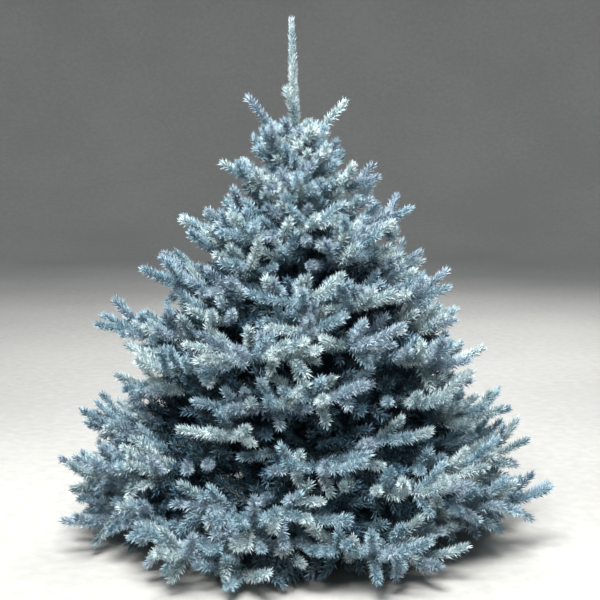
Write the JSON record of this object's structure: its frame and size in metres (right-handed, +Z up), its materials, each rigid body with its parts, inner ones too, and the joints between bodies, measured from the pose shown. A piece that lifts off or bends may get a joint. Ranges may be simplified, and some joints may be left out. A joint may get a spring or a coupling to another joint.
{
  "type": "potted blue spruce",
  "caption": "Whole young blue spruce in a plain round pot: one straight trunk, tiers of arching boughs and flat fans of silver-blue needle sprays down to the ground.",
  "frame": {"origin": "centre of the pot's flat underside, on the level surface it stands on", "axes": "+Z up along the trunk, +X to the right and +Y away for somebody who sees the side that the picture shows"},
  "size_m": [1.6828, 1.6832, 1.8],
  "materials": {
    "pot": "moulded charcoal plastic, satin",
    "compost": "bark and peat compost, dull",
    "bark": "grey-brown scaly bark, dull",
    "needles": "waxy silver-blue needles"
  },
  "bodies": {
    "root": {"pot": "pot", "compost": "compost", "trunk": "bark", "leader_needles": "needles", "bough_tier1_1": "bark", "foliage_tier1_1": "needles", "bough_tier1_2": "bark", "foliage_tier1_2": "needles", "bough_tier1_3": "bark", "foliage_tier1_3": "needles", "bough_tier1_4": "bark", "foliage_tier1_4": "needles", "bough_tier1_5": "bark", "foliage_tier1_5": "needles", "bough_tier1_6": "bark", "foliage_tier1_6": "needles", "bough_tier1_7": "bark", "foliage_tier1_7": "needles", "bough_tier2_1": "bark", "foliage_tier2_1": "needles", "bough_tier2_2": "bark", "foliage_tier2_2": "needles", "bough_tier2_3": "bark", "foliage_tier2_3": "needles", "bough_tier2_4": "bark", "foliage_tier2_4": "needles", "bough_tier2_5": "bark", "foliage_tier2_5": "needles", "bough_tier2_6": "bark", "foliage_tier2_6": "needles", "bough_tier3_1": "bark", "foliage_tier3_1": "needles", "bough_tier3_2": "bark", "foliage_tier3_2": "needles", "bough_tier3_3": "bark", "foliage_tier3_3": "needles", "bough_tier3_4": "bark", "foliage_tier3_4": "needles", "bough_tier3_5": "bark", "foliage_tier3_5": "needles", "foliage_tier4_1": "needles", "foliage_tier4_2": "needles", "foliage_tier4_3": "needles", "foliage_tier4_4": "needles", "foliage_tier4_5": "needles", "foliage_tier4_6": "needles", "foliage_tier5_1": "needles", "foliage_tier5_2": "needles", "foliage_tier5_3": "needles", "foliage_tier5_4": "needles", "foliage_tier5_5": "needles", "foliage_tier6_1": "needles", "foliage_tier6_2": "needles", "foliage_tier6_3": "needles", "foliage_tier6_4": "needles", "foliage_tier6_5": "needles", "foliage_tier7_1": "needles", "foliage_tier7_2": "needles", "foliage_tier7_3": "needles", "foliage_tier7_4": "needles"}
  },
  "joints": []
}
